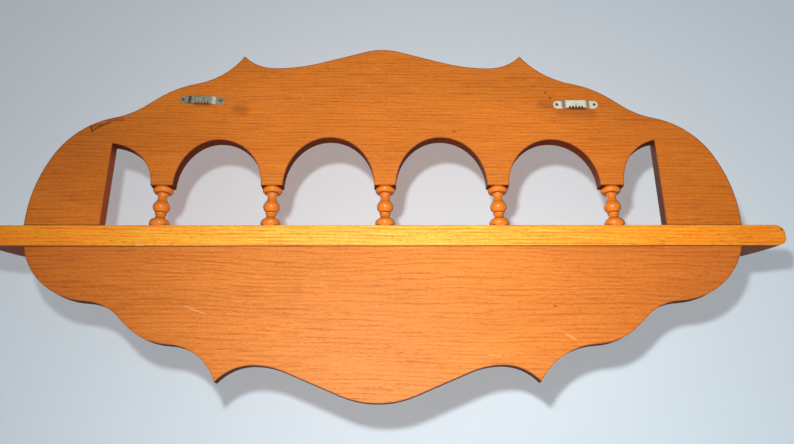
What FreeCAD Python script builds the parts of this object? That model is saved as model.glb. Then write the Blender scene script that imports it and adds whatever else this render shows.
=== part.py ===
import FreeCAD, Part
import math
import os
import Sketcher

# Wall plate rack in stained oak: a scalloped upper board cut into arches, five turned
# spindles under its pendants, a shelf with a routed edge and a plate groove, and a
# scalloped apron board below. Two sawtooth hangers are nailed to the back.
#
# Millimetres. X runs along the rack, -Y is the room side, +Y the wall side, +Z is up.
# The origin is on the wall plane, in the middle of the shelf's back edge.

doc = FreeCAD.newDocument("WallPlateRack")
sheet = doc.addObject("Spreadsheet::Sheet", "Sizes")


# ---------------------------------------------------------------- sizes

class Term:
    """A length that knows its number and the sheet formula that gives it."""

    def __init__(self, number, text=None):
        self.number = number
        self.text = repr(number) if text is None else text

    def __add__(self, other):
        other = as_term(other)
        return Term(self.number + other.number, f"({self.text} + {other.text})")

    def __sub__(self, other):
        other = as_term(other)
        return Term(self.number - other.number, f"({self.text} - {other.text})")

    def __mul__(self, other):
        other = as_term(other)
        return Term(self.number * other.number, f"({self.text} * {other.text})")

    def __truediv__(self, other):
        other = as_term(other)
        return Term(self.number / other.number, f"({self.text} / {other.text})")

    def __neg__(self):
        return Term(-self.number, f"(0 - {self.text})")

    def __rmul__(self, other):
        return as_term(other) * self

    def __radd__(self, other):
        return as_term(other) + self

    def __rsub__(self, other):
        return as_term(other) - self

    def root(self):
        return Term(math.sqrt(self.number), f"sqrt({self.text})")


def as_term(value):
    return value if isinstance(value, Term) else Term(value)


rows_used = 0


def size(alias, number, meaning):
    """Writes one size into the sheet and returns it as a Term."""
    global rows_used
    rows_used += 1
    sheet.set(f"A{rows_used}", meaning)
    sheet.set(f"B{rows_used}", str(number))
    sheet.setAlias(f"B{rows_used}", alias)
    return Term(float(number), f"Sizes.{alias}")


# Boards and shelf
board_width = size("board_width", 670, "width of the upper board at the shelf")
board_thickness = size("board_thickness", 14, "thickness of both boards")
front_round = size("front_round", 3, "round on the boards' front edges")
shelf_overhang = size("shelf_overhang", 39, "how far the shelf reaches past the board's sides")
shelf_depth = size("shelf_depth", 89, "depth of the shelf, wall to front edge")
shelf_thickness = size("shelf_thickness", 20, "thickness of the shelf")
shelf_end_radius = size("shelf_end_radius", 135, "sweep of the shelf's front corners")
nose_radius = size("nose_radius", 8, "routed round on the shelf's edge, top and bottom")
plate_groove_width = size("plate_groove_width", 6, "width of the groove that holds plates")
plate_groove_depth = size("plate_groove_depth", 3, "depth of that groove")
plate_groove_inset = size("plate_groove_inset", 27, "front edge to the groove's middle")
plate_groove_margin = size("plate_groove_margin", 74, "shelf's end to the groove's straight part")
plate_groove_round = size("plate_groove_round", 2, "round in the bottom corners of the groove")

# Scallops, cut along the free edges of both boards with one template.
# Heights are from the shelf's nearest face. Each slope between a round and a hollow has a
# straight part, and the round takes its share of the turn, the hollow the rest.
notch_to_side = size("notch_to_side", 68, "each notch to the board's side")
notch_height = size("notch_height", 52.2, "height of the notches")
shoulder_to_notch = size("shoulder_to_notch", 77.6, "each shoulder to the notch beside it")
shoulder_height = size("shoulder_height", 90.9, "height of the shoulders")
shoulder_slope = size("shoulder_slope", 14.5, "straight part of the shoulders' slopes")
shoulder_share = size("shoulder_share", 0.557, "share of the slope's turn in the shoulder's round")
cusp_to_shoulder = size("cusp_to_shoulder", 48.5, "each cusp to the shoulder beside it")
dip_to_cusp = size("dip_to_cusp", 32.2, "bottom of each dip to the cusp beside it")
dip_height = size("dip_height", 109.2, "height of the dips")
dip_outer_radius = size("dip_outer_radius", 43.4, "hollow between a dip and its cusp")

# The upper board's own sizes
upper_shift = size("upper_shift", 2.3, "how far its middle scallops stand off the board's middle")
upper_lift = size("upper_lift", 61, "how much further out the template sits on the upper board")
upper_lean = size("upper_lean", 0.215, "fall of its notches and shoulders for each step outwards")
upper_tip_height = size("upper_tip_height", 192.4, "height of the upper board's tip")
upper_tip_slope = size("upper_tip_slope", 46.5, "straight part of the upper tip's slopes")
upper_tip_share = size("upper_tip_share", 0.26, "share of the slope's turn in the upper tip's round")
side_sweep = size("side_sweep", 136.4, "sweep of the board's sides, under the round of the crown")
side_height = size("side_height", 9.9, "straight part of the board's sides above the shelf")
stile_width = size("stile_width", 70.5, "width of the board's legs at the sides")
arch_count = 4
arch_shift = size("arch_shift", -1.1, "how far the row of arches stands off the board's middle")
arch_inset = size("arch_inset", 102.4, "leg's inner side to the middle of the arch nearest to it")
arch_rise = size("arch_rise", 50.8, "height of the two middle arches above the pendants' ends")
outer_arch_rise = size("outer_arch_rise", 48.5, "height of the two outer arches")
pendant_width = size("pendant_width", 20.9, "width of the pendants between the arches")
last_foot_inset = size("last_foot_inset", 3.6, "how much the last arch's outer foot stands further in")
side_arch_past = size("side_arch_past", 7.8, "how far the half arches' middles lie inside the legs")
left_side_span = size("left_side_span", 34.9, "width of the half arch at the left")
left_side_rise = size("left_side_rise", 49, "height of the half arch at the left")
right_side_span = size("right_side_span", 42.2, "width of the half arch at the right")
right_side_rise = size("right_side_rise", 45, "height of the half arch at the right")

# The lower board's own sizes
lower_inset = size("lower_inset", 3.7, "how far the lower board stops short of the upper one's side")
lower_shift = size("lower_shift", 4.3, "how far its middle scallops stand off the board's middle")
lower_lean = size("lower_lean", 0.05, "fall of its notches and shoulders for each step outwards")
lower_tip_height = size("lower_tip_height", 141.5, "height of the lower board's tip below the shelf")
lower_tip_slope = size("lower_tip_slope", 52, "straight part of the lower tip's slopes")
lower_tip_share = size("lower_tip_share", 0.548, "share of the slope's turn in the lower tip's round")

# Spindles, heights from the shelf unless they say from the top
spindle_height = size("spindle_height", 40.5, "height of the spindles between shelf and pendant")
spindle_radius = size("spindle_radius", 9.5, "radius of the base and cap beads")
bead_root_radius = size("bead_root_radius", 7.4, "radius where the base and cap beads end")
base_height = size("base_height", 7.4, "height of the base bead")
foot_neck_radius = size("foot_neck_radius", 4.2, "radius of the lower neck")
foot_neck_height = size("foot_neck_height", 12.2, "height of the lower neck")
ring_radius = size("ring_radius", 5.4, "radius of the thin ring under the belly")
ring_height = size("ring_height", 2.6, "height of the thin ring")
belly_radius = size("belly_radius", 7.9, "radius of the belly")
belly_seat_radius = size("belly_seat_radius", 4.9, "radius of the belly's lower end")
belly_height = size("belly_height", 20.4, "height of the belly's widest place")
belly_top_radius = size("belly_top_radius", 6.6, "radius where the belly turns into the neck")
belly_top_height = size("belly_top_height", 24.4, "height of that place")
neck_radius = size("neck_radius", 4.1, "radius of the upper neck")
neck_drop = size("neck_drop", 9.6, "upper neck below the top")
neck_hollow = size("neck_hollow", 0.7, "hollow of the sweep from belly to neck")
collar_radius = size("collar_radius", 5.3, "radius of the collar under the cap")
collar_height = size("collar_height", 1.3, "height of the collar")
cap_height = size("cap_height", 6.3, "height of the cap bead")
tenon_radius = size("tenon_radius", 4, "radius of the spindles' tenons")
tenon_length = size("tenon_length", 9, "length of the spindles' tenons")

# Joinery
glue_gap = size("glue_gap", 0.05, "gap around a tenon or dowel in its hole")
hole_slack = size("hole_slack", 0.4, "room at the bottom of a hole")
dowel_radius = size("dowel_radius", 4, "radius of the dowels")
dowel_chamfer = size("dowel_chamfer", 0.8, "chamfer on the dowels' ends")
dowel_in_shelf = size("dowel_in_shelf", 9, "how deep a dowel sits in the shelf")
dowel_in_board = size("dowel_in_board", 18, "how deep a dowel sits in a board")
stile_dowel_spread = size("stile_dowel_spread", 36, "spacing of the two dowels in each leg")

# Sawtooth hangers and their nails
hanger_length = size("hanger_length", 44.5, "length of a hanger")
hanger_height = size("hanger_height", 8.2, "height of a hanger")
hanger_metal = size("hanger_metal", 0.8, "thickness of the hanger's steel")
hanger_tab = size("hanger_tab", 8.4, "length of the nailed ends")
hanger_ramp = size("hanger_ramp", 3.9, "length of the ramps")
hanger_standoff = size("hanger_standoff", 1.8, "gap behind the toothed bridge")
hanger_corner = size("hanger_corner", 4, "round of the nailed ends")
tooth_count = 5
tooth_pitch = size("tooth_pitch", 3, "spacing of the notches between the teeth")
tooth_width = size("tooth_width", 2.2, "width of a notch at its mouth")
tooth_depth = size("tooth_depth", 2.3, "depth of a notch")
centre_mark_radius = size("centre_mark_radius", 0.9, "radius of the pressed centre mark")
centre_mark_depth = size("centre_mark_depth", 0.3, "depth of that mark")
nail_spacing = size("nail_spacing", 37.4, "spacing of the two nails of a hanger")
nail_radius = size("nail_radius", 0.7, "radius of a nail")
nail_length = size("nail_length", 11, "length of a nail under its head")
nail_point = size("nail_point", 1.6, "length of a nail's point")
nail_head_radius = size("nail_head_radius", 1.6, "radius of a nail's head")
nail_head_height = size("nail_head_height", 0.7, "height of a nail's head")
left_hanger_inset = size("left_hanger_inset", 144.2, "board's left side to the left hanger")
left_hanger_drop = size("left_hanger_drop", 24.2, "left hanger below the shoulders")
left_hanger_lean = size("left_hanger_lean", 0, "how much its right nail is the higher")
right_hanger_inset = size("right_hanger_inset", 153.1, "board's right side to the right hanger")
right_hanger_drop = size("right_hanger_drop", 19.4, "right hanger below the shoulders")
right_hanger_lean = size("right_hanger_lean", 1.3, "how much its right nail is the higher")

doc.recompute()

# Places that several pieces share
shelf_top = shelf_thickness / 2
shelf_bottom = -shelf_top
half_width = board_width / 2
half_shelf = half_width + shelf_overhang
mid_board = -(board_thickness / 2)
notch_across = half_width - notch_to_side
shoulder_across = notch_across - shoulder_to_notch
cusp_across = shoulder_across - cusp_to_shoulder
dip_across = cusp_across - dip_to_cusp
pendant_end = shelf_top + spindle_height
stile_inner = half_width - stile_width
stile_middle = half_width - stile_width / 2
arch_reach = stile_inner - arch_inset
arch_pitch = arch_reach * 2 / (arch_count - 1)
arch_half_span = (arch_pitch - pendant_width) / 2
first_arch = arch_shift - arch_reach
last_arch = arch_shift + arch_reach
first_apron_dowel = first_arch - arch_pitch
apron_dowel_count = arch_count + 2
tenon_hole_radius = tenon_radius + glue_gap
dowel_hole_radius = dowel_radius + glue_gap
nail_hole_radius = nail_radius + glue_gap


# ---------------------------------------------------------------- drawing helpers

def new_body(label):
    body = doc.addObject("PartDesign::Body", label)
    body.Label = label
    return body


def put(body, across, depth, height):
    """Places a body and binds its place to the sheet."""
    for axis, term in zip("xyz", (across, depth, height)):
        body.setExpression(f"Placement.Base.{axis}", as_term(term).text)


def new_sketch(body, name, plane, offset=None):
    """A sketch on one of the body's own planes, moved along its normal by a Term."""
    sketch = body.newObject("Sketcher::SketchObject", name)
    support = [item for item in body.Origin.OriginFeatures if item.Role == plane][0]
    sketch.AttachmentSupport = [(support, "")]
    sketch.MapMode = "FlatFace"
    if offset is not None:
        sketch.setExpression("AttachmentOffset.Base.z", offset.text)
    return sketch


def constrain(sketch, term, kind, *where):
    """Adds a dimension to a sketch and binds it to a Term."""
    index = sketch.addConstraint(Sketcher.Constraint(kind, *where, term.number))
    sketch.setExpression(f"Constraints[{index}]", term.text)


def pin(sketch, geometry, point, across, up):
    """Pins one point of a sketch to its distances from the sketch's origin."""
    constrain(sketch, across, "DistanceX", -1, 1, geometry, point)
    constrain(sketch, up, "DistanceY", -1, 1, geometry, point)


def bulge_radius(start, end, rise):
    """Radius of the arc from start to end that stands out from its chord by rise."""
    run = end[0] - start[0]
    climb = end[1] - start[1]
    return (run * run + climb * climb) / (rise * 8) + rise / 2


def arc_height(radius, run):
    """How far a circle falls away from its top over a run to one side."""
    return radius - (radius * radius - run * run).root()


class Outline:
    """A closed outline in a sketch, drawn point by point with every corner pinned."""

    def __init__(self, sketch, across, up):
        self.sketch = sketch
        self.first = (as_term(across), as_term(up))
        self.here = self.first
        self.edges = []

    def add(self, edge, start_point, end_point, target, pinned):
        index = self.sketch.addGeometry(edge, False)
        if self.edges:
            last, last_end = self.edges[-1][0], self.edges[-1][2]
            self.sketch.addConstraint(
                Sketcher.Constraint("Coincident", last, last_end, index, start_point))
        self.edges.append((index, start_point, end_point))
        if pinned:
            pin(self.sketch, index, end_point, *target)
        self.here = target

    def line(self, across, up, pinned=True):
        target = (as_term(across), as_term(up))
        self.add(Part.LineSegment(flat(self.here), flat(target)), 1, 2, target, pinned)

    def arc(self, across, up, radius, turn, pinned=True):
        """An arc under half a circle. It turns left where turn is 1 and right where it is -1."""
        target = (as_term(across), as_term(up))
        start, end = flat(self.here), flat(target)
        chord = end - start
        reach = math.sqrt(max(radius.number ** 2 - chord.Length ** 2 / 4, 0))
        aside = FreeCAD.Vector(-chord.y, chord.x, 0).normalize()
        centre = (start + end) / 2 + aside * (turn * reach)
        begin, finish = (start, end) if turn > 0 else (end, start)
        from_angle = math.atan2(begin.y - centre.y, begin.x - centre.x)
        to_angle = math.atan2(finish.y - centre.y, finish.x - centre.x)
        if to_angle < from_angle:
            to_angle += 2 * math.pi
        circle = Part.Circle(centre, FreeCAD.Vector(0, 0, 1), radius.number)
        edge = Part.ArcOfCircle(circle, from_angle, to_angle)
        points = (1, 2) if turn > 0 else (2, 1)
        self.add(edge, *points, target, pinned)
        constrain(self.sketch, radius, "Radius", self.edges[-1][0])

    def close(self):
        """Joins the last edge, which already ends at the first corner, to the first edge."""
        last, first = self.edges[-1], self.edges[0]
        self.sketch.addConstraint(
            Sketcher.Constraint("Coincident", last[0], last[2], first[0], first[1]))


def flat(point):
    return FreeCAD.Vector(point[0].number, point[1].number, 0)


def draw_polygon(sketch, corners):
    outline = Outline(sketch, *corners[0])
    for corner in corners[1:] + corners[:1]:
        outline.line(*corner)
    outline.close()


def draw_circle(sketch, across, up, radius):
    centre = FreeCAD.Vector(across.number, up.number, 0)
    index = sketch.addGeometry(Part.Circle(centre, FreeCAD.Vector(0, 0, 1), radius.number), False)
    pin(sketch, index, 3, across, up)
    constrain(sketch, radius, "Radius", index)


def draw_elliptic(sketch, centre, span, rise, side, cut=None):
    """A quarter of an upright or flat ellipse, from its foot on one side up to its top.

    With a cut, the curve stops there, that far from the centre line. Returns the curve, its
    foot's end and its upper end.
    """
    across, up = centre
    middle = flat(centre)
    top = middle + FreeCAD.Vector(0, rise.number, 0)
    foot = middle + FreeCAD.Vector(side * span.number, 0, 0)
    upright = rise.number >= span.number
    major, minor = (top, foot) if upright else (foot, top)
    ellipse = Part.Ellipse(major, minor, middle)
    if cut is None:
        finish = (across, up + rise)
    else:
        share = cut / span
        finish = (across + cut * side, up + rise * (as_term(1) - share * share).root())
    start_at = ellipse.parameter(foot)
    finish_at = ellipse.parameter(flat(finish))
    if abs(finish_at - start_at) > math.pi:
        start_at += math.copysign(2 * math.pi, finish_at - start_at)
    curve = Part.ArcOfEllipse(ellipse, min(start_at, finish_at), max(start_at, finish_at))
    index = sketch.addGeometry(curve, False)
    sketch.exposeInternalGeometry(index)
    major_axis = index + 1
    sketch.addConstraint(Sketcher.Constraint("Vertical" if upright else "Horizontal", major_axis))
    foot_end = 1 if sketch.getPoint(index, 1).distanceToPoint(foot) < 0.001 else 2
    pin(sketch, index, 3, across, up)
    pin(sketch, index, foot_end, across + span * side, up)
    pin(sketch, index, 3 - foot_end, *finish)
    return index, foot_end, 3 - foot_end


def pad(body, name, sketch, length, reverse=False):
    feature = body.newObject("PartDesign::Pad", name)
    feature.Profile = sketch
    feature.setExpression("Length", length.text)
    feature.Reversed = reverse
    return feature


def pocket(body, name, sketch, depth, reverse=False):
    """Cuts against the sketch's normal, or along it where reverse is set."""
    feature = body.newObject("PartDesign::Pocket", name)
    feature.Profile = sketch
    feature.setExpression("Length", depth.text)
    feature.Reversed = reverse
    return feature


def repeat_along(body, name, feature, sketch, spacing, count):
    pattern = body.newObject("PartDesign::LinearPattern", name)
    pattern.Originals = [feature]
    pattern.Direction = (sketch, ["H_Axis"])
    pattern.setExpression("Length", (spacing * (count - 1)).text)
    pattern.Occurrences = count
    body.Tip = pattern
    return pattern


def revolve(body, name, sketch):
    feature = body.newObject("PartDesign::Revolution", name)
    feature.Profile = sketch
    feature.ReferenceAxis = (sketch, ["V_Axis"])
    feature.Angle = 360
    return feature


def round_edges(body, name, base, radius, wanted):
    """Rounds every edge of the body so far that the test `wanted` picks."""
    doc.recompute()
    names = [f"Edge{number}" for number, edge in enumerate(base.Shape.Edges, 1) if wanted(edge)]
    feature = body.newObject("PartDesign::Fillet", name)
    feature.Base = (base, names)
    feature.setExpression("Radius", radius.text)
    return feature


def drill(body, name, plane, offset, places, radius, depth, reverse):
    """Round holes of one size, all drilled from one plane."""
    sketch = new_sketch(body, name + "Marks", plane, offset)
    for across, up in places:
        draw_circle(sketch, across, up, radius)
    return pocket(body, name, sketch, depth, reverse)


# ---------------------------------------------------------------- boards

def easing(run, drop, straight, share):
    """A slope from a crest's round over a straight part into a hollow, run and drop in all.

    Returns the crest's radius and the end of its round, as distance and fall from its top,
    then the hollow's radius and the end of its round, as distance and rise from its bottom.
    """
    both = (run * run + drop * drop - straight * straight) / (drop * 2)
    rise = both - drop
    apart = run * run + rise * rise
    cosine = (rise * both + run * straight) / apart
    sine = (run * both - rise * straight) / apart
    crest = both * share
    hollow = both - crest
    return (crest, crest * sine, crest * (1 - cosine)), (hollow, hollow * sine, hollow * (1 - cosine))


def tilt(lean):
    """Cosine and sine of the angle whose slope is the lean."""
    length = (as_term(1) + lean * lean).root()
    return as_term(1) / length, lean / length


def scallop_stretch(side, shift, lift, lean, tip_height, tip_slope, tip_share):
    """The template's points from a notch to the tip, on one side of the board.

    Returns the corners, as distances from the middle and heights from the shelf, and for
    each stretch between them its radius and turn, with None for a straight one. The last
    stretch is the round over the tip. At the notch and the shoulder the outline runs along
    the lean, so the slope between them is worked out in axes turned by it.
    """
    cosine, sine = tilt(lean)
    lowest_dip = lift + dip_height
    shoulder_top = lift + shoulder_height
    notch_bottom = lift + notch_height
    cusp_top = lowest_dip + arc_height(dip_outer_radius, cusp_across - dip_across)
    drop = shoulder_height - notch_height
    shoulder, notch = easing(shoulder_to_notch * cosine + drop * sine,
                             drop * cosine - shoulder_to_notch * sine,
                             shoulder_slope, shoulder_share)
    cusp_run = cusp_across + shift * side - shoulder_across
    cusp_rise = cusp_top - shoulder_top
    cusp_radius = ((cusp_run * cusp_run + cusp_rise * cusp_rise)
                   / ((cusp_run * sine + cusp_rise * cosine) * 2))
    tip, dip = easing(dip_across, tip_height - lowest_dip, tip_slope, tip_share)
    corners = [
        (notch_across * side, notch_bottom),
        ((notch_across - cosine * notch[1] + sine * notch[2]) * side,
         notch_bottom + sine * notch[1] + cosine * notch[2]),
        ((shoulder_across + cosine * shoulder[1] - sine * shoulder[2]) * side,
         shoulder_top - sine * shoulder[1] - cosine * shoulder[2]),
        (shoulder_across * side, shoulder_top),
        (shift + cusp_across * side, cusp_top),
        (shift + dip_across * side, lowest_dip),
        (shift + (dip_across - dip[1]) * side, lowest_dip + dip[2]),
        (shift + tip[1] * side, tip_height - tip[2]),
    ]
    stretches = [
        (notch[0], -1),
        None,
        (shoulder[0], 1),
        (cusp_radius, -1),
        (dip_outer_radius, -1),
        (dip[0], -1),
        None,
        (tip[0], 1),
    ]
    return corners, stretches


def draw_scallops(outline, up, *own_sizes):
    """Draws the template from the right notch over the tip to the left notch.

    The upper board's heights count up from the shelf (up is 1), the lower one's down (-1).
    """
    def place(corner):
        return corner[0], (shelf_top + corner[1]) * up

    right, right_stretches = scallop_stretch(1, *own_sizes)
    left, left_stretches = scallop_stretch(-1, *own_sizes)
    for corner, stretch in zip(right[1:], right_stretches):
        if stretch is None:
            outline.line(*place(corner))
        else:
            outline.arc(*place(corner), stretch[0], stretch[1] * up)
    outline.arc(*place(left[-1]), right_stretches[-1][0], up)
    for corner, stretch in zip(left[-2::-1], left_stretches[-2::-1]):
        if stretch is None:
            outline.line(*place(corner))
        else:
            outline.arc(*place(corner), stretch[0], stretch[1] * up)


def on_front_outline(face_line):
    """Picks the edges of a board's front face, apart from those along the shelf."""
    def wanted(edge):
        box = edge.BoundBox
        on_front = abs(box.YMin + board_thickness.number) < 0.001 and box.YLength < 0.001
        on_shelf = abs(box.ZMin - face_line) < 0.001 and box.ZLength < 0.001
        return on_front and not on_shelf
    return wanted


def make_upper_board():
    body = new_body("upper_board")
    sketch = new_sketch(body, "UpperOutline", "XZ_Plane")
    notch_top = upper_lift + notch_height

    # The side's sweep stands upright at the straight part, and the crown's round touches it
    # and the lean at the notch
    cosine, sine = tilt(upper_lean)
    run = side_sweep - notch_to_side
    climb = notch_top - side_height
    crown_radius = ((side_sweep * side_sweep - run * run - climb * climb)
                    / ((side_sweep - run * sine - climb * cosine) * 2))
    crown_middle = (notch_across - crown_radius * sine, notch_top - crown_radius * cosine)
    share = crown_radius / (side_sweep - crown_radius)
    crown_end = (crown_middle[0] + (crown_middle[0] - half_width + side_sweep) * share,
                 crown_middle[1] + (crown_middle[1] - side_height) * share)
    outline = Outline(sketch, -half_width, shelf_top)
    outline.line(half_width, shelf_top)
    outline.line(half_width, shelf_top + side_height)
    outline.arc(crown_end[0], shelf_top + crown_end[1], side_sweep, 1)
    outline.arc(notch_across, shelf_top + notch_top, crown_radius, 1)
    draw_scallops(outline, 1, upper_shift, upper_lift, upper_lean,
                  upper_tip_height, upper_tip_slope, upper_tip_share)
    outline.arc(-crown_end[0], shelf_top + crown_end[1], crown_radius, 1)
    outline.arc(-half_width, shelf_top + side_height, side_sweep, 1)
    outline.line(-half_width, shelf_top)
    outline.close()
    pad(body, "UpperSlab", sketch, board_thickness)

    # The space that the spindles stand in, then the arches above it
    sketch = new_sketch(body, "SpindleSpaceOutline", "XZ_Plane")
    draw_polygon(sketch, [(-stile_inner, shelf_top), (stile_inner, shelf_top),
                          (stile_inner, pendant_end), (-stile_inner, pendant_end)])
    pocket(body, "SpindleSpace", sketch, board_thickness, True)

    middle_arch = cut_arch(body, "MiddleArch", first_arch + arch_pitch, arch_half_span, arch_rise)
    repeat_along(body, "MiddleArches", *middle_arch, arch_pitch, 2)
    cut_arch(body, "FirstArch", first_arch, arch_half_span, outer_arch_rise)
    cut_arch(body, "LastArch", last_arch, arch_half_span - last_foot_inset, outer_arch_rise)
    cut_side_arch(body, "LeftSideArch", -1, left_side_span, left_side_rise)
    last_cut = cut_side_arch(body, "RightSideArch", 1, right_side_span, right_side_rise)
    round_edges(body, "FrontRound", last_cut, front_round, on_front_outline(shelf_top.number))

    # Holes for the spindles' tenons, the dowels in the legs and the hangers' nails
    drill(body, "TenonHoles", "XY_Plane", pendant_end,
          [(x, mid_board) for x in spindle_places()],
          tenon_hole_radius, tenon_length + hole_slack, True)
    drill(body, "StileDowelHoles", "XY_Plane", shelf_top,
          [(x, mid_board) for x in stile_dowel_places()],
          dowel_hole_radius, dowel_in_board + hole_slack, True)
    nail_depth = nail_length - hanger_metal + hole_slack
    drill(body, "NailHoles", "XZ_Plane", None,
          [nail for hanger in hangers for nail in nail_places(*hanger[1:])],
          nail_hole_radius, nail_depth, True)
    return body


def cut_arch(body, name, across, right_span, rise):
    """An arch of two quarter ellipses over the pendants' ends, and the sketch it is cut from."""
    sketch = new_sketch(body, name + "Outline", "XZ_Plane")
    centre = (across, pendant_end)
    right, right_foot, right_top = draw_elliptic(sketch, centre, right_span, rise, 1)
    left, left_foot, left_top = draw_elliptic(sketch, centre, arch_half_span, rise, -1)
    base = sketch.addGeometry(Part.LineSegment(
        flat((across - arch_half_span, pendant_end)), flat((across + right_span, pendant_end))), False)
    sketch.addConstraint(Sketcher.Constraint("Coincident", base, 1, left, left_foot))
    sketch.addConstraint(Sketcher.Constraint("Coincident", base, 2, right, right_foot))
    return pocket(body, name, sketch, board_thickness, True), sketch


def cut_side_arch(body, name, side, span, rise):
    """The half arch beside a leg. Its ellipse is cut off where it meets the leg."""
    sketch = new_sketch(body, name + "Outline", "XZ_Plane")
    centre = ((stile_inner + side_arch_past) * side, pendant_end)
    curve, foot, top = draw_elliptic(sketch, centre, span + side_arch_past, rise, -side, side_arch_past)
    corner = (stile_inner * side, pendant_end)
    base = sketch.addGeometry(
        Part.LineSegment(flat(((stile_inner - span) * side, pendant_end)), flat(corner)), False)
    upright = sketch.addGeometry(
        Part.LineSegment(flat(corner), sketch.getPoint(curve, top)), False)
    sketch.addConstraint(Sketcher.Constraint("Coincident", base, 1, curve, foot))
    sketch.addConstraint(Sketcher.Constraint("Coincident", base, 2, upright, 1))
    sketch.addConstraint(Sketcher.Constraint("Coincident", upright, 2, curve, top))
    pin(sketch, upright, 1, *corner)
    return pocket(body, name, sketch, board_thickness, True)


def make_lower_board():
    body = new_body("lower_board")
    sketch = new_sketch(body, "LowerOutline", "XZ_Plane")
    half = half_width - lower_inset
    cosine, sine = tilt(lower_lean)
    run = notch_to_side - lower_inset
    end_radius = ((run * run + notch_height * notch_height)
                  / ((notch_height * cosine - run * sine) * 2))
    outline = Outline(sketch, -half, shelf_bottom)
    outline.line(half, shelf_bottom)
    outline.arc(notch_across, shelf_bottom - notch_height, end_radius, -1)
    draw_scallops(outline, -1, lower_shift, as_term(0), lower_lean,
                  lower_tip_height, lower_tip_slope, lower_tip_share)
    outline.arc(-half, shelf_bottom, end_radius, -1)
    outline.close()
    slab = pad(body, "LowerSlab", sketch, board_thickness)
    round_edges(body, "FrontRound", slab, front_round, on_front_outline(shelf_bottom.number))

    sketch = new_sketch(body, "ApronDowelMarks", "XY_Plane", shelf_bottom)
    draw_circle(sketch, first_apron_dowel, mid_board, dowel_hole_radius)
    hole = pocket(body, "ApronDowelHole", sketch, dowel_in_board + hole_slack)
    repeat_along(body, "ApronDowelHoles", hole, sketch, arch_pitch, apron_dowel_count)
    return body


# ---------------------------------------------------------------- shelf

def on_nose(edge):
    """Picks the shelf's level edges, apart from those along the wall."""
    box = edge.BoundBox
    return box.ZLength < 0.001 and box.YMin < -0.001


def make_shelf():
    body = new_body("shelf")
    sketch = new_sketch(body, "ShelfPlan", "XY_Plane", shelf_bottom)
    half = half_shelf
    sweep = (shelf_end_radius * shelf_depth * 2 - shelf_depth * shelf_depth).root()
    outline = Outline(sketch, -half, 0)
    outline.arc(-(half - sweep), -shelf_depth, shelf_end_radius, 1)
    outline.line(half - sweep, -shelf_depth)
    outline.arc(half, 0, shelf_end_radius, 1)
    outline.line(-half, 0)
    outline.close()
    slab = pad(body, "ShelfSlab", sketch, shelf_thickness)
    round_edges(body, "Nose", slab, nose_radius, on_nose)

    # A groove with round ends that the plates' rims stand in
    sketch = new_sketch(body, "PlateGrooveOutline", "XY_Plane", shelf_top)
    end = half_shelf - plate_groove_margin
    reach = plate_groove_width / 2
    middle = plate_groove_inset - shelf_depth
    back = middle + reach
    front = middle - reach
    outline = Outline(sketch, -end, front)
    outline.line(end, front)
    outline.arc(end + reach, middle, reach, 1)
    outline.arc(end, back, reach, 1)
    outline.line(-end, back)
    outline.arc(-end - reach, middle, reach, 1)
    outline.arc(-end, front, reach, 1)
    outline.close()
    groove = pocket(body, "PlateGroove", sketch, plate_groove_depth)
    floor = (shelf_top - plate_groove_depth).number
    round_edges(body, "PlateGrooveRound", groove, plate_groove_round,
                lambda edge: edge.BoundBox.ZLength < 0.001 and abs(edge.BoundBox.ZMin - floor) < 0.001)

    drill(body, "TenonHoles", "XY_Plane", shelf_top,
          [(x, mid_board) for x in spindle_places()],
          tenon_hole_radius, tenon_length + hole_slack, False)
    drill(body, "StileDowelHoles", "XY_Plane", shelf_top,
          [(x, mid_board) for x in stile_dowel_places()],
          dowel_hole_radius, dowel_in_shelf + hole_slack, False)
    sketch = new_sketch(body, "ApronDowelMarks", "XY_Plane", shelf_bottom)
    draw_circle(sketch, first_apron_dowel, mid_board, dowel_hole_radius)
    hole = pocket(body, "ApronDowelHole", sketch, dowel_in_shelf + hole_slack, True)
    repeat_along(body, "ApronDowelHoles", hole, sketch, arch_pitch, apron_dowel_count)
    return body


# ---------------------------------------------------------------- turned and round pieces

def spindle_places():
    """The middles of the five pendants, from left to right."""
    first = (-(stile_inner - left_side_span) + first_arch - arch_half_span) / 2
    last_foot = last_arch + arch_half_span - last_foot_inset
    last = (stile_inner - right_side_span + last_foot) / 2
    between = [first_arch + arch_pitch * (step + 0.5) for step in range(arch_count - 1)]
    return [first] + between + [last]


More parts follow.
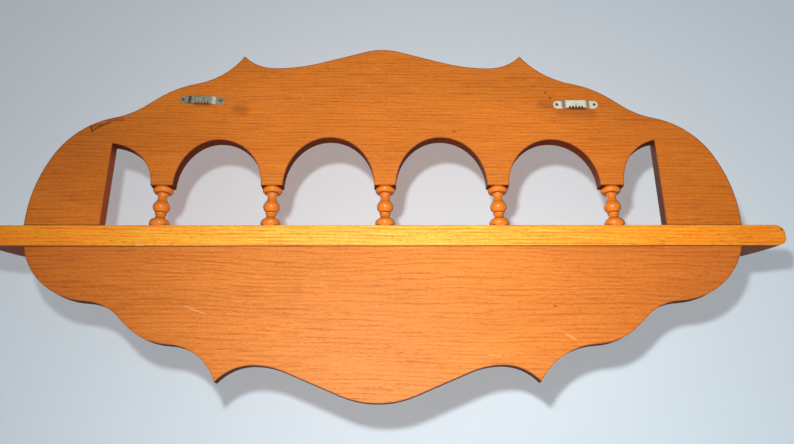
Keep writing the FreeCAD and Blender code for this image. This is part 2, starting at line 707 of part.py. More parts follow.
def make_spindle(number, across):
    """A turned spindle with a tenon at each end, standing on the shelf's top."""
    body = new_body(f"spindle_{number}")
    sketch = new_sketch(body, "SpindleProfile", "XZ_Plane")
    top = spindle_height
    cap_foot = top - cap_height
    collar_foot = cap_foot - collar_height
    neck = top - neck_drop
    ring_top = foot_neck_height + ring_height
    bead_rise = spindle_radius - bead_root_radius
    outline = Outline(sketch, 0, -tenon_length)
    outline.line(tenon_radius, -tenon_length)
    outline.line(tenon_radius, 0)
    outline.line(bead_root_radius, 0)

    def swell(across_to, up_to, rise, turn):
        target = (as_term(across_to), as_term(up_to))
        outline.arc(*target, bulge_radius(outline.here, target, rise), turn)

    swell(bead_root_radius, base_height, bead_rise, 1)
    swell(foot_neck_radius, foot_neck_height, neck_hollow, -1)
    swell(foot_neck_radius, ring_top, ring_radius - foot_neck_radius, 1)
    outline.line(belly_seat_radius, ring_top)
    belly_start = (belly_seat_radius, ring_top)
    belly_end = (belly_radius, belly_height)
    outline.arc(*belly_end, upright_radius(belly_start, belly_end), 1)
    belly_start = (belly_top_radius, belly_top_height)
    outline.arc(*belly_start, upright_radius(belly_start, belly_end), 1)
    swell(neck_radius, neck, neck_hollow, -1)
    swell(collar_radius, collar_foot, neck_hollow / 2, -1)
    outline.line(collar_radius, cap_foot)
    outline.line(bead_root_radius, cap_foot)
    swell(bead_root_radius, top, bead_rise, 1)
    outline.line(tenon_radius, top)
    outline.line(tenon_radius, top + tenon_length)
    outline.line(0, top + tenon_length)
    outline.line(0, -tenon_length)
    outline.close()
    revolve(body, "Turning", sketch)
    put(body, across, mid_board, shelf_top)
    return body


def upright_radius(point, widest):
    """Radius of the arc through a point that is upright at the widest place."""
    run = widest[0] - point[0]
    climb = widest[1] - point[1]
    return (run * run + climb * climb) / (run * 2)


def stile_dowel_places():
    """The dowels in the two legs, from left to right."""
    reach = stile_dowel_spread / 2
    return [stile_middle * side + reach * other for side in (-1, 1) for other in (-1, 1)]


def make_dowel(label, across, low, high):
    """A glued dowel between two heights, with chamfered ends."""
    body = new_body(label)
    sketch = new_sketch(body, "DowelProfile", "XZ_Plane")
    length = high - low
    inner = dowel_radius - dowel_chamfer
    draw_polygon(sketch, [(0, 0), (inner, 0), (dowel_radius, dowel_chamfer),
                          (dowel_radius, length - dowel_chamfer), (inner, length), (0, length)])
    revolve(body, "Turning", sketch)
    put(body, across, mid_board, low)
    return body


# ---------------------------------------------------------------- hangers

shoulder_top = shelf_top + upper_lift + shoulder_height
hangers = [
    ("left", left_hanger_inset - half_width, shoulder_top - left_hanger_drop, left_hanger_lean),
    ("right", half_width - right_hanger_inset, shoulder_top - right_hanger_drop, right_hanger_lean),
]


def nail_places(across, height, lean):
    """The two nails of a hanger, as distances from the middle and heights."""
    return [(across + nail_spacing / 2 * side, height + lean / 2 * side) for side in (-1, 1)]


def make_hanger(name, across, height, lean):
    """A bent steel strip with a toothed bridge, nailed to the wall side of the board."""
    body = new_body(f"sawtooth_hanger_{name}")
    sketch = new_sketch(body, "StripSide", "XY_Plane", -(hanger_height / 2))
    end = hanger_length / 2
    bend = end - hanger_tab
    bridge = bend - hanger_ramp
    near = [(-end, 0), (-bend, 0), (-bridge, hanger_standoff),
            (bridge, hanger_standoff), (bend, 0), (end, 0)]
    far = [(x, hanger_metal + y) for x, y in near[::-1]]
    draw_polygon(sketch, near + far)
    strip = pad(body, "Strip", sketch, hanger_height)
    round_edges(body, "Corners", strip, hanger_corner, on_strip_end)

    low = -(hanger_height / 2)
    first_tooth = -(tooth_pitch * ((tooth_count - 1) / 2))
    sketch = new_sketch(body, "ToothOutline", "XZ_Plane")
    draw_polygon(sketch, [(first_tooth - tooth_width / 2, low), (first_tooth + tooth_width / 2, low),
                          (first_tooth, low + tooth_depth)])
    through = hanger_standoff + hanger_metal
    notch = pocket(body, "Tooth", sketch, through)
    repeat_along(body, "Teeth", notch, sketch, tooth_pitch, tooth_count)
    drill(body, "NailHoles", "XZ_Plane", None,
          [(nail_spacing / 2 * side, as_term(0)) for side in (-1, 1)],
          nail_hole_radius, hanger_metal, False)
    drill(body, "CentreMark", "XZ_Plane", -through, [(as_term(0), as_term(0))],
          centre_mark_radius, centre_mark_depth, True)
    turn = -math.degrees(math.atan2(lean.number, nail_spacing.number))
    body.Placement.Rotation = FreeCAD.Rotation(FreeCAD.Vector(0, 1, 0), turn)
    put(body, across, 0, height)
    return body


def on_strip_end(edge):
    """Picks the four short corner edges at the ends of the strip."""
    box = edge.BoundBox
    at_end = abs(abs(box.XMin) - hanger_length.number / 2) < 0.001 and box.XLength < 0.001
    return at_end and box.ZLength < 0.001


def make_nail(number, across, height):
    """A small nail with a domed head, driven through a hanger's end into the board."""
    body = new_body(f"hanger_nail_{number}")
    sketch = new_sketch(body, "NailProfile", "XY_Plane")
    tip = hanger_metal - nail_length
    head_top = hanger_metal + nail_head_height
    outline = Outline(sketch, 0, tip)
    outline.line(nail_radius, tip + nail_point)
    outline.line(nail_radius, hanger_metal)
    outline.line(nail_head_radius, hanger_metal)
    dome_radius = ((nail_head_radius * nail_head_radius + nail_head_height * nail_head_height)
                   / (nail_head_height * 2))
    outline.arc(0, head_top, dome_radius, 1)
    outline.line(0, tip)
    outline.close()
    revolve(body, "Turning", sketch)
    put(body, across, 0, height)
    return body


# ---------------------------------------------------------------- assembly

bodies = [make_upper_board(), make_lower_board(), make_shelf()]

for place, across in enumerate(spindle_places(), 1):
    bodies.append(make_spindle(place, across))

for place, across in enumerate(stile_dowel_places(), 1):
    bodies.append(make_dowel(f"stile_dowel_{place}", across,
                             shelf_top - dowel_in_shelf, shelf_top + dowel_in_board))

for place in range(apron_dowel_count):
    bodies.append(make_dowel(f"apron_dowel_{place + 1}", first_apron_dowel + arch_pitch * place,
                             shelf_bottom - dowel_in_board, shelf_bottom + dowel_in_shelf))

nail_number = 0
for hanger in hangers:
    bodies.append(make_hanger(*hanger))
    for across, height in nail_places(*hanger[1:]):
        nail_number += 1
        bodies.append(make_nail(nail_number, across, height))

doc.recompute()

# ---------------------------------------------------------------- checks and files

faults = []
for item in doc.Objects:
    if "Invalid" in item.State or "Error" in item.State:
        faults.append(f"{item.Label} did not compute")
for body in bodies:
    shape = body.Shape
    if shape.isNull() or not shape.isValid() or len(shape.Solids) != 1:
        faults.append(f"{body.Label} is not one valid solid")
if faults:
    raise RuntimeError("; ".join(faults))

os.makedirs("parts", exist_ok=True)
for body in bodies:
    body.Shape.exportStep(f"parts/{body.Label}.step")
    print(f"{body.Label}: {body.Shape.Volume / 1000:.2f} cm3")
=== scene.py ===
import math

import bpy
import numpy as np
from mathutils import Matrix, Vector


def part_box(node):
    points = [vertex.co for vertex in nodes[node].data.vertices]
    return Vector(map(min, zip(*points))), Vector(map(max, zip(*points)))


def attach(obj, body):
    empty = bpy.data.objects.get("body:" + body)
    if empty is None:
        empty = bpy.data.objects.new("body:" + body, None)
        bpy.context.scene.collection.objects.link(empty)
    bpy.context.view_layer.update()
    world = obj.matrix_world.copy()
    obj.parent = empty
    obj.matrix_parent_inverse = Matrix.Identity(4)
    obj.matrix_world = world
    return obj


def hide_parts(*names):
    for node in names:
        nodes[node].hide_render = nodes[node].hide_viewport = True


# A wall plate rack seen from the back: stained oak boards and shelf, satin turned spindles,
# two sawtooth hangers and their nails. Metres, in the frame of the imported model: X along the
# rack, -Y the room, +Y the wall, Z up. Shapes and marks are written in millimetres.

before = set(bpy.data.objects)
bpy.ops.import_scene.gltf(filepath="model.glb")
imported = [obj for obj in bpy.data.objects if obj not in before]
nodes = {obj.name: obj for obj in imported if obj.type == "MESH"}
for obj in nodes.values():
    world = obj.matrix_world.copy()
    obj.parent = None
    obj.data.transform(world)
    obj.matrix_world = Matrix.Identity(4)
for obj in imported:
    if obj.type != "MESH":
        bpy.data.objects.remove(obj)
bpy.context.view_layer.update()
scene = bpy.context.scene
perMetre = 1000.0
print("frame loaded:", len(nodes), "nodes")


# Camera, at the angle of the photograph
cameraSettings = {
    "place": (-0.00885, 0.596, -0.2084),
    "turn": (110.3817, 0.1400, 179.7158),
    "lens": 30.849,
    "sensor": 36.0,
    "clip": 0.01,
}

cameraData = bpy.data.cameras.new("rackCamera")
cameraData.lens = cameraSettings["lens"]
cameraData.sensor_width = cameraSettings["sensor"]
cameraData.clip_start = cameraSettings["clip"]
camera = bpy.data.objects.new("rackCamera", cameraData)
camera.location = cameraSettings["place"]
camera.rotation_euler = [math.radians(angle) for angle in cameraSettings["turn"]]
scene.collection.objects.link(camera)
scene.camera = camera


# Colours are written as they look on a screen, 0 to 255, and turned linear here
def paint(red, green, blue):
    levels = np.array([red, green, blue]) / 255.0
    linear = np.where(levels <= 0.04045, levels / 12.92, ((levels + 0.055) / 1.055) ** 2.4)
    return tuple(float(level) for level in linear) + (1.0,)


class Wiring:
    # Makes nodes in one tree. An input that is a socket gets linked, any other is set.
    # A noise is given by its stretch, detail and roughness, and ease by its range.
    def __init__(self, tree):
        self.tree = tree

    def add(self, kind, inputs=None, **settings):
        made = self.tree.nodes.new(kind)
        for name, value in settings.items():
            setattr(made, name, value)
        for name, value in (inputs or {}).items():
            if isinstance(value, bpy.types.NodeSocket):
                self.tree.links.new(value, made.inputs[name])
            else:
                made.inputs[name].default_value = value
        return made

    def math(self, operation, first, second=0.5, third=0.5, clamp=False):
        made = self.add("ShaderNodeMath", {0: first, 1: second, 2: third}, operation=operation)
        made.use_clamp = clamp
        return made.outputs[0]

    def vector(self, operation, first, second=(0.0, 0.0, 0.0)):
        made = self.add("ShaderNodeVectorMath", {0: first, 1: second}, operation=operation)
        return made.outputs["Value" if operation in ("DOT_PRODUCT", "LENGTH") else "Vector"]

    def part(self, vector, axis):
        return self.add("ShaderNodeSeparateXYZ", {0: vector}).outputs[axis]

    def noise(self, vector, stretch, detail=3.0, roughness=0.55):
        scaled = self.vector("MULTIPLY", vector, stretch)
        made = self.add("ShaderNodeTexNoise", {"Vector": scaled, "Scale": 1.0, "Detail": detail,
                                               "Roughness": roughness})
        return made.outputs["Fac"]

    def ease(self, value, low, high, start=0.0, end=1.0):
        made = self.add("ShaderNodeMapRange", {"Value": value, "From Min": low, "From Max": high,
                                               "To Min": start, "To Max": end},
                        interpolation_type="SMOOTHSTEP")
        return made.outputs["Result"]

    def mix(self, factor, first, second, blend="MIX"):
        made = self.add("ShaderNodeMix", {0: factor, 6: first, 7: second},
                        data_type="RGBA", blend_type=blend)
        return made.outputs[2]

    def bump(self, height, strength, distance):
        made = self.add("ShaderNodeBump", {"Height": height, "Strength": strength,
                                           "Distance": distance})
        return made.outputs[0]

    def join(self, output, target):
        self.tree.links.new(output, target)


# A shader group, its named inputs and outputs, and the wiring inside it
def newGroup(name, inputs, outputs):
    tree = bpy.data.node_groups.new(name, "ShaderNodeTree")
    for label, kind, value in inputs:
        socket = tree.interface.new_socket(label, in_out="INPUT", socket_type="NodeSocket" + kind)
        if value is not None:
            socket.default_value = value
    for label in outputs:
        tree.interface.new_socket(label, in_out="OUTPUT", socket_type="NodeSocketFloat")
    wiring = Wiring(tree)
    return tree, wiring, wiring.add("NodeGroupInput").outputs, wiring.add("NodeGroupOutput")


def useGroup(wire, group, inputs):
    return wire.add("ShaderNodeGroup", inputs, node_tree=group).outputs


# The noises of the oak: how often each repeats in a metre along X, Y and Z, its detail and its
# roughness. The ranges say between which values of a noise or of the ring each part rises.
oakNoises = {
    "slow": ((5.0, 16.0, 16.0), 2.0, 0.5),
    "quick": ((31.0, 170.0, 170.0), 3.0, 0.6),
    "broken": ((13.0, 210.0, 210.0), 4.0, 0.65),
    "dashes": ((110.0, 1000.0, 1000.0), 3.0, 0.65),
    "patches": ((19.0, 60.0, 60.0), 2.0, 0.6),
    "streaks": ((26.0, 820.0, 820.0), 4.0, 0.65),
    "flecks": ((300.0, 900.0, 900.0), 2.0, 0.6),
    "mottle": ((5.0, 17.0, 17.0), 3.0, 0.55),
}
oakRanges = {
    "quickBend": 0.22, "ringDarkens": (0.0, 0.2), "ringFades": (0.2, 0.7), "broken": (0.34, 0.66),
    "dashes": (0.5, 0.7), "patches": (0.35, 0.65, 0.25, 1.0), "streakShare": 0.6, "fleckShare": 0.4,
}


# The figure of oak. Growth rings are the distance from a pith line that runs along X, away from
# the faces, bent by slow noise, so that the faces show near-straight streaks. Each ring starts
# with a thin dark line, here and there broken. Pores are short dark dashes in patches, fibre is
# finer and everywhere, and mottle is a slow change of tone.
def makeOakFigure():
    tree, wire, given, result = newGroup(
        "oakFigure",
        [("Vector", "Vector", None), ("Ring Spacing", "Float", 0.004), ("Pith Y", "Float", -0.06),
         ("Pith Z", "Float", 0.0), ("Tilt", "Float", 0.05), ("Warp", "Float", 0.006)],
        ["Rings", "Pores", "Fibre", "Mottle"])
    place, ranges = given["Vector"], oakRanges
    noises = {name: wire.noise(place, *settings) for name, settings in oakNoises.items()}
    slow, quick = (wire.math("SUBTRACT", noises[name], 0.5) for name in ("slow", "quick"))
    bend = wire.math("MULTIPLY_ADD", quick, ranges["quickBend"], slow)
    aside = wire.math("SUBTRACT", wire.part(place, 1), given["Pith Y"])
    lean = wire.math("MULTIPLY", wire.part(place, 0), given["Tilt"])
    above = wire.math("SUBTRACT", wire.math("SUBTRACT", wire.part(place, 2), given["Pith Z"]), lean)
    reach = wire.math("SQRT", wire.math("ADD", wire.math("MULTIPLY", aside, aside),
                                        wire.math("MULTIPLY", above, above)))
    reach = wire.math("MULTIPLY_ADD", bend, given["Warp"], reach)
    saw = wire.math("FRACT", wire.math("DIVIDE", reach, given["Ring Spacing"]))
    early = wire.math("MULTIPLY", wire.ease(saw, *ranges["ringDarkens"]),
                      wire.math("SUBTRACT", 1.0, wire.ease(saw, *ranges["ringFades"])))
    broken, dashes, patches = (wire.ease(noises[name], *ranges[name])
                               for name in ("broken", "dashes", "patches"))
    fibre = wire.math("MULTIPLY_ADD", noises["streaks"], ranges["streakShare"],
                      wire.math("MULTIPLY", noises["flecks"], ranges["fleckShare"]))
    wire.join(wire.math("MULTIPLY", early, broken), result.inputs["Rings"])
    wire.join(wire.math("MULTIPLY", dashes, patches), result.inputs["Pores"])
    wire.join(fibre, result.inputs["Fibre"])
    wire.join(noises["mottle"], result.inputs["Mottle"])
    return tree


# A mark on a face: how near a point lies to the line from Start to End, 1 on it and 0 past
# Width. Noise makes the width vary from its least share upwards by its spread.
markShape = {"noise": ((700.0, 700.0, 700.0), 2.0), "spread": 0.9, "least": 0.55,
             "fade": (0.0, 0.85)}


def makeMark():
    tree, wire, given, result = newGroup(
        "faceMark",
        [("Vector", "Vector", None), ("Start", "Vector", (0, 0, 0)), ("End", "Vector", (0, 0, 0)),
         ("Width", "Float", 0.001)],
        ["Mask"])
    along = wire.vector("SUBTRACT", given["End"], given["Start"])
    away = wire.vector("SUBTRACT", given["Vector"], given["Start"])
    share = wire.math("DIVIDE", wire.vector("DOT_PRODUCT", away, along),
                      wire.vector("DOT_PRODUCT", along, along), clamp=True)
    scaled = wire.add("ShaderNodeVectorMath", {0: along, "Scale": share}, operation="SCALE")
    gap = wire.vector("LENGTH", wire.vector("SUBTRACT", away, scaled.outputs[0]))
    ragged = wire.noise(given["Vector"], *markShape["noise"])
    rough = wire.math("MULTIPLY_ADD", ragged, markShape["spread"], markShape["least"])
    edge = wire.math("MULTIPLY", given["Width"], rough)
    near = wire.math("SUBTRACT", 1.0, wire.math("DIVIDE", gap, edge), clamp=True)
    wire.join(wire.ease(near, *markShape["fade"]), result.inputs["Mask"])
    return tree


# Masks from the shape: Sawn is 1 on the boards' cut edges, which face away from Y, another is 1 on
# what faces down, where painted shade goes, Arris on a narrow line along sharp edges, and the last,
# from occlusion, in creases, where painted shade goes.
maskShape = {"sawnAndShade": (0.3, 0.8), "under": (-0.3, -0.8), "arris": (0.996, 0.92), "arrisSamples": 4,
             "hollowReach": 0.004, "hollowSamples": 6}


def makeShapeMasks():
    tree, wire, given, result = newGroup("shapeMasks", [("Arris Width", "Float", 0.0012)],
                                         ["Sawn", "Shade Below", "Arris", "Crease Shade"])
    facing = wire.add("ShaderNodeNewGeometry").outputs["True Normal"]
    toWall = wire.part(wire.vector("ABSOLUTE", facing), 1)
    sawnAndShade = wire.math("SUBTRACT", 1.0, wire.ease(toWall, *maskShape["sawnAndShade"]))
    wire.join(sawnAndShade, result.inputs["Sawn"])
    wire.join(wire.ease(wire.part(facing, 2), *maskShape["under"]), result.inputs["Shade Below"])
    rounded = wire.add("ShaderNodeBevel", {"Radius": given["Arris Width"]},
                       samples=maskShape["arrisSamples"]).outputs[0]
    same = wire.vector("DOT_PRODUCT", rounded, facing)
    wire.join(wire.ease(same, *maskShape["arris"]), result.inputs["Arris"])
    bare = wire.add("ShaderNodeAmbientOcclusion", {"Distance": maskShape["hollowReach"]},
                    samples=maskShape["hollowSamples"]).outputs["AO"]
    wire.join(wire.math("SUBTRACT", 1.0, bare), result.inputs["Crease Shade"])
    return tree


oakFigure = makeOakFigure()
faceMark = makeMark()
shapeMasks = makeShapeMasks()


def newMaterial(name):
    made = bpy.data.materials.new(name)
    made.use_nodes = True
    made.node_tree.nodes.clear()
    wire = Wiring(made.node_tree)
    shader = wire.add("ShaderNodeBsdfPrincipled")
    wire.add("ShaderNodeOutputMaterial", {"Surface": shader.outputs[0]})
    return made, wire, shader


# Oak boards and shelf. Each has its own pith line and so its own pattern. Four colours multiply the
# colour: on cut faces, the darker stain of end grain with painted shade on top; underneath, painted
# shade; at the ends, a painted falloff of the light; in the middle, a painted highlight.
boardLooks = {
    "upper_board": {
        "light": (242, 138, 44), "dark": (168, 72, 14), "pore": (132, 58, 16),
        "sawnAndShade": (124, 94, 46), "spacing": 0.0031, "pith": (-0.30, -0.42),
        "tilt": 0.010, "warp": 0.012,
        "shift": (0.0, 0.0, 0.0), "contrast": 0.8, "shine": 0.22, "edging": 0.85,
        "middleHighlight": (1.0, 1.0, 1.0), "ends": (0.93, 0.89, 0.84), "under": (1.0, 1.0, 1.0),
    },
    "lower_board": {
        "light": (246, 148, 58), "dark": (182, 82, 20), "pore": (144, 66, 22),
        "sawnAndShade": (104, 76, 44), "spacing": 0.0035, "pith": (-0.22, 0.25),
        "tilt": 0.02, "warp": 0.016,
        "shift": (1.7, 0.3, 0.0), "contrast": 0.9, "shine": 0.22, "edging": 0.6,
        "middleHighlight": (1.04, 1.04, 1.0), "ends": (0.82, 0.7, 0.62), "under": (1.0, 1.0, 1.0),
    },
    "shelf": {
        "light": (255, 188, 40), "dark": (252, 114, 8), "pore": (150, 62, 8),
        "sawnAndShade": (228, 186, 218), "spacing": 0.0029, "pith": (-0.30, -0.50),
        "tilt": 0.012, "warp": 0.006,
        "shift": (3.1, 0.0, 0.2), "contrast": 1.45, "shine": 0.5, "edging": 0.35,
        # On the shelf: a painted highlight in the middle, and painted shade underneath
        "middleHighlight": (1.0, 1.45, 2.8), "ends": (1.12, 1.0, 0.7), "under": (0.2, 0.22, 0.26),
    },
}
oakFinish = {
    "arrisWidth": 0.0021, "arris": (84, 38, 18), "fibre": (0.3, 0.7),
    "ringShare": 0.45, "fibreShare": 0.6, "poreShare": 0.5,
    "middle": (0.33, 0.06), "mottle": (0.3, 0.7, 0.9, 1.06),
    "rough": 0.5, "poresRoughen": 0.2, "sawnRoughens": 0.3,
    "fibreHeight": 0.3, "bump": (0.3, 0.0002),
}


# A mark runs from a start to an end (x, z), on the back face unless it says a y of its own. It
# has a width, the colour that it leaves and its strength.
def mark(start, end, width, color, strength, y=0.0, onCut=False):
    return {"start": (start[0], y, start[1]), "end": (end[0], y, end[1]), "width": width,
            "color": color, "strength": strength, "onCut": onCut}


boardMarks = {
    "upper_board": [
        # Knot with its cracks at the crown's edge
        mark((288.0, 115.5), (281.0, 115.0), 6.0, (150, 70, 34), 0.5),
        mark((289.2, 116.0), (286.4, 108.3), 1.2, (66, 24, 10), 0.9),
        mark((286.4, 108.3), (279.0, 114.5), 1.1, (84, 32, 12), 0.85),
        mark((279.0, 114.5), (270.0, 118.0), 1.7, (104, 40, 16), 0.8),
        mark((276.0, 121.0), (258.0, 121.0), 3.5, (150, 62, 26), 0.5),
        # Pin knot, then two old nail holes
        mark((-68.4, 107.4), (-68.9, 107.4), 1.6, (150, 62, 22), 0.7),
        mark((-161.5, 151.5), (-161.9, 151.5), 1.6, (104, 50, 24), 0.8),
        mark((-166.0, 145.9), (-166.6, 145.6), 1.7, (92, 42, 20), 0.85),
        # Smudges
        mark((-158.0, 139.0), (-164.0, 138.0), 9.0, (140, 72, 34), 0.4),
        mark((-175.0, 131.0), (-205.0, 129.0), 10.0, (140, 72, 34), 0.35),
        mark((146.0, 133.0), (140.0, 131.5), 9.0, (130, 70, 34), 0.4),
        # Inner sides of the two legs: painted light on the one at +X, painted shade on the one at
        # -X
        mark((264.5, 6.0), (264.5, 74.0), 24.0, (176, 84, 32), 0.8, y=-7.0, onCut=True),
        mark((-264.5, 6.0), (-264.5, 74.0), 24.0, (74, 40, 22), 0.7, y=-7.0, onCut=True),
        # Painted shadow on the board behind the hangers
        mark((-186.0, 135.5), (-199.5, 135.5), 5.0, (58, 32, 18), 0.9),
        mark((188.0, 140.5), (176.0, 139.8), 4.5, (84, 44, 22), 0.8),
        # Joint between the legs and the shelf
        mark((335.0, 10.0), (264.0, 10.0), 0.9, (110, 48, 18), 0.7),
        mark((-264.0, 10.0), (-335.0, 10.0), 0.9, (110, 48, 18), 0.7),
    ],
    "lower_board": [
        # Joint under the shelf, a pin knot and three pale scratches
        mark((335.0, -10.2), (-335.0, -10.2), 1.3, (104, 44, 16), 0.8),
        mark((-153.7, -67.2), (-154.4, -67.2), 1.9, (150, 62, 22), 0.7),
        mark((177.0, -66.8), (158.5, -74.1), 0.8, (252, 190, 120), 0.5),
        mark((-92.0, -110.6), (-102.0, -111.6), 0.9, (252, 196, 130), 0.4),
        mark((-161.6, -92.6), (-169.6, -97.4), 1.0, (252, 196, 120), 0.55),
    ],
    "shelf": [
        # A pale chip on the lower edge and a dark nick at one end
        mark((228.0, -9.6), (221.4, -9.6), 1.0, (255, 226, 150), 0.7),
        mark((-371.0, 5.6), (-371.6, 5.6), 1.6, (90, 40, 12), 0.8),
    ],
}


# Figure, then the painted falloff of light at the ends against the painted highlight in the middle,
# and slow change of tone, then painted shade underneath, the cut faces, the dark arrises and the
# marks
def oakMaterial(name, look, marks):
    made, wire, shader = newMaterial(name)
    finish = oakFinish
    place = wire.add("ShaderNodeTexCoord").outputs["Object"]
    shift = look["shift"]
    figure = useGroup(wire, oakFigure, {
        "Vector": wire.vector("ADD", place, shift), "Ring Spacing": look["spacing"],
        "Pith Y": look["pith"][0] + shift[1], "Pith Z": look["pith"][1] + shift[2],
        "Tilt": look["tilt"], "Warp": look["warp"]})
    masks = useGroup(wire, shapeMasks, {"Arris Width": finish["arrisWidth"]})
    fibre = wire.ease(figure["Fibre"], *finish["fibre"])
    tone = wire.math("MULTIPLY_ADD", figure["Rings"], finish["ringShare"],
                     wire.math("MULTIPLY", fibre, finish["fibreShare"]))
    tone = wire.math("MULTIPLY", tone, look["contrast"], clamp=True)
    color = wire.mix(tone, paint(*look["light"]), paint(*look["dark"]))
    porous = wire.math("MULTIPLY", figure["Pores"], finish["poreShare"] * look["contrast"])
    color = wire.mix(porous, color, paint(*look["pore"]))
    # The ends darken as a painted falloff of the light, the middle lightens as a painted highlight
    middle = wire.ease(wire.math("ABSOLUTE", wire.part(place, 0)), *finish["middle"])
    lengthwise = wire.mix(middle, look["ends"] + (1.0,), look["middleHighlight"] + (1.0,))
    color = wire.mix(1.0, color, lengthwise, "MULTIPLY")
    level = wire.ease(figure["Mottle"], *finish["mottle"])
    grey = wire.add("ShaderNodeCombineXYZ", {0: level, 1: level, 2: level}).outputs[0]
    color = wire.mix(1.0, color, grey, "MULTIPLY")
    # Painted shade on what faces down
    color = wire.mix(masks["Shade Below"], color, look["under"] + (1.0,), "MULTIPLY")
    # Cut faces: the darker stain of end grain, with painted shade on top
    color = wire.mix(masks["Sawn"], color, paint(*look["sawnAndShade"]), "MULTIPLY")
    darkArris = wire.math("MULTIPLY", masks["Arris"], look["edging"])
    color = wire.mix(darkArris, color, paint(*finish["arris"]))
    for spot in marks:
        start, end = ([reach / perMetre for reach in spot[which]] for which in ("start", "end"))
        mask = useGroup(wire, faceMark, {"Vector": place, "Start": start, "End": end,
                                         "Width": spot["width"] / perMetre})["Mask"]
        if spot["onCut"]:
            mask = wire.math("MULTIPLY", mask, masks["Sawn"])
        mask = wire.math("MULTIPLY", mask, spot["strength"])
        color = wire.mix(mask, color, paint(*spot["color"]))
    wire.join(color, shader.inputs["Base Color"])
    rough = wire.math("MULTIPLY_ADD", figure["Pores"], finish["poresRoughen"], finish["rough"])
    rough = wire.math("MULTIPLY_ADD", masks["Sawn"], finish["sawnRoughens"], rough)
    wire.join(rough, shader.inputs["Roughness"])
    height = wire.math("SUBTRACT", wire.math("MULTIPLY", figure["Fibre"], finish["fibreHeight"]),
                       figure["Pores"])
    wire.join(wire.bump(height, *finish["bump"]), shader.inputs["Normal"])
    shader.inputs["Specular IOR Level"].default_value = look["shine"]
    return made


def cover(node, material):
    for place in nodes[node].material_slots:
        place.material = material


for node, look in boardLooks.items():
    cover(node, oakMaterial(node + "Oak", look, boardMarks[node]))
print("boards and shelf finished")


# Hidden dowels, plain beech
beechLooks = {
    "fibre": ((1300.0, 1300.0, 60.0), 3.0), "light": (226, 188, 140), "dark": (190, 140, 92),
    "fleck": ((2100.0, 2100.0, 420.0), 2.0), "fleckRange": (0.55, 0.7), "fleckShare": 0.5,
    "fleckColor": (150, 98, 60), "rough": 0.7,
}


def beechMaterial():
    made, wire, shader = newMaterial("dowelBeech")
    look = beechLooks
    place = wire.add("ShaderNodeTexCoord").outputs["Object"]
    fibre = wire.noise(place, *look["fibre"])
    fleck = wire.ease(wire.noise(place, *look["fleck"]), *look["fleckRange"])
    fleck = wire.math("MULTIPLY", fleck, look["fleckShare"])
    color = wire.mix(fibre, paint(*look["light"]), paint(*look["dark"]))
    color = wire.mix(fleck, color, paint(*look["fleckColor"]))
    wire.join(color, shader.inputs["Base Color"])
    shader.inputs["Roughness"].default_value = look["rough"]
    return made


beech = beechMaterial()
for node in nodes:
    if "dowel" in node:
        cover(node, beech)


# Puts whole arrays of points and faces into a mesh object that rides on the rack
def newPiece(name, points, faces, material, replaced, sharpAngle=35.0):
    mesh = bpy.data.meshes.new(name)
    mesh.from_pydata(points.tolist(), [], faces)
    mesh.update()
    mesh.polygons.foreach_set("use_smooth", np.ones(len(mesh.polygons), dtype=bool))
    mesh.set_sharp_from_angle(angle=math.radians(sharpAngle))
    mesh.materials.append(material)
    piece = bpy.data.objects.new(name, mesh)
    scene.collection.objects.link(piece)
    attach(piece, "root")
    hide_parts(replaced)


# Faces of a grid whose rows are closed rings, with a cap at each end. The rings run anticlockwise
# seen from the far end, so the faces look outwards.
def ringFaces(ringCount, pointsPerRing):
    ring = np.arange(ringCount - 1)[:, None] * pointsPerRing
    step = np.arange(pointsPerRing)[None, :]
    following = (step + 1) % pointsPerRing
    quads = np.stack([ring + step, ring + following,
                      ring + pointsPerRing + following, ring + pointsPerRing + step], axis=-1)
    faces = quads.reshape(-1, 4).tolist()
    last = (ringCount - 1) * pointsPerRing
    faces.append(list(range(pointsPerRing))[::-1])
    faces.append(list(range(last, last + pointsPerRing)))
    return faces


# A turned piece on a vertical axis: the profile's radii and heights swept round once
def turnedPoints(radii, heights, around, axis):
    angle = np.arange(around) * (2 * math.pi / around)
    x = axis[0] + radii[:, None] * np.cos(angle)[None, :]
    y = axis[1] + radii[:, None] * np.sin(angle)[None, :]
    z = np.broadcast_to(axis[2] + heights[:, None], x.shape)
    return np.stack([x, y, z], axis=-1).reshape(-1, 3)


# Spindles. Each stretch goes from one radius and height above the shelf to another, in
# millimetres, with its bulge and its count of points. The bulge is a half sine, raised to
# fullness. The tenon is a radius and a length, the same at both ends.
spindleShape = {
    "count": 5,
    "around": 72,
    "height": 40.5,
    "tenon": (4.0, 9.0),
    "fullness": 0.85,
    "stretches": [
        ((7.6, 0.0), (7.8, 7.3), 1.75, 18),
        ((7.0, 7.5), (4.35, 12.2), -0.75, 14),
        ((4.4, 12.3), (4.3, 14.9), 1.05, 10),
        ((4.9, 15.1), (6.3, 24.6), 2.3, 28),
        ((6.3, 24.6), (4.1, 30.6), -0.5, 16),
        ((4.1, 30.6), (5.0, 33.0), -0.25, 8),
        ((5.1, 33.1), (5.2, 34.3), 0.35, 7),
        ((7.7, 34.5), (7.6, 40.5), 1.8, 18),
    ],
}
spindleLooks = {
    "turn": 90.0, "spacing": 0.0024, "pith": (-0.02, 0.6), "tilt": 0.1, "warp": 0.003,
    "arrisWidth": 0.0008, "fibreFrom": 0.42, "fibreShare": 0.9, "ringShare": 0.2, "poreShare": 0.25,
    "light": (246, 134, 32), "dark": (190, 80, 12), "pore": (128, 54, 14),
    "hollow": (92, 34, 8), "hollowRange": (0.2, 0.75),
    "rimShade": (112, 40, 8), "rimShadeBlend": 0.5, "rimShadeRange": (0.35, 0.85, 0.0, 0.75),
    "rough": 0.36, "shine": 0.4, "coat": 0.08, "coatRough": 0.15, "bump": (0.2, 0.0002),
}
